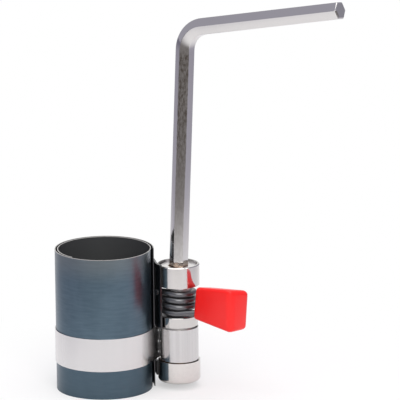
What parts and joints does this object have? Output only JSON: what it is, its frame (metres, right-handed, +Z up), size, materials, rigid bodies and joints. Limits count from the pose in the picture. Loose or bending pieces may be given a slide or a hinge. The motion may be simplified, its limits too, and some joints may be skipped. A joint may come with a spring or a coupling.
{
  "type": "piston ring compressor",
  "caption": "Hand tool that closes piston rings: an open rolled steel sleeve drawn in by a tension band, with a winding spindle, wrap spring, red release lever and angled hex key.",
  "frame": {"origin": "the sleeve's axis in the plane of its lower rim", "axes": "+Z up along the sleeve's axis, +X from the sleeve to the winding head, -Y toward the viewer of the picture"},
  "size_m": [0.1414, 0.0726, 0.2004],
  "materials": {
    "blued_steel": "blued spring steel, smooth, half gloss",
    "band_steel": "bright stainless strip, satin",
    "rivet_steel": "plain bright steel",
    "bracket_steel": "blackened steel plate, half gloss",
    "head_chrome": "chromed turned steel, polished",
    "bearing_bronze": "plain bronze, turned",
    "black_spring": "black oxide spring wire, oiled",
    "red_plastic": "moulded red plastic, half gloss",
    "key_chrome": "drawn hexagon bar, chromed"
  },
  "bodies": {
    "sleeve_unit": {"sleeve": "blued_steel", "tension_band": "band_steel", "band_rivets": "rivet_steel", "upper_bracket": "bracket_steel", "lower_bracket": "bracket_steel", "upper_bracket_rivets": "rivet_steel", "lower_bracket_rivets": "rivet_steel", "top_collar": "head_chrome", "bottom_cup": "head_chrome", "lower_bush": "bearing_bronze", "thrust_washer": "bearing_bronze", "head_washer": "bearing_bronze", "wrap_spring": "black_spring"},
    "winding_spindle": {"spindle": "head_chrome", "band_drum": "head_chrome", "drum_pin": "rivet_steel", "band_roll": "band_steel"},
    "release_lever": {"lever_grip": "red_plastic"},
    "hex_key": {"hex_key": "key_chrome"}
  },
  "joints": [
    {"name": "spindle_turn", "type": "hinge", "parent": "sleeve_unit", "child": "winding_spindle", "pos_m": [0.0361, 0, 0.0336], "axis": [0, 0, -1], "range_deg": [-330, 270]},
    {"name": "lever_release", "type": "hinge", "parent": "sleeve_unit", "child": "release_lever", "pos_m": [0.0361, 0, 0.03839], "axis": [0, 0, -1], "range_deg": [0, 20], "stiffness_Nm_per_rad": 0.6, "deforming": ["wrap_spring"]},
    {"name": "key_lift", "type": "slide", "parent": "winding_spindle", "child": "hex_key", "axis": [0.0401, 0.014, 0.9991], "range_m": [0, 0.03]}
  ]
}
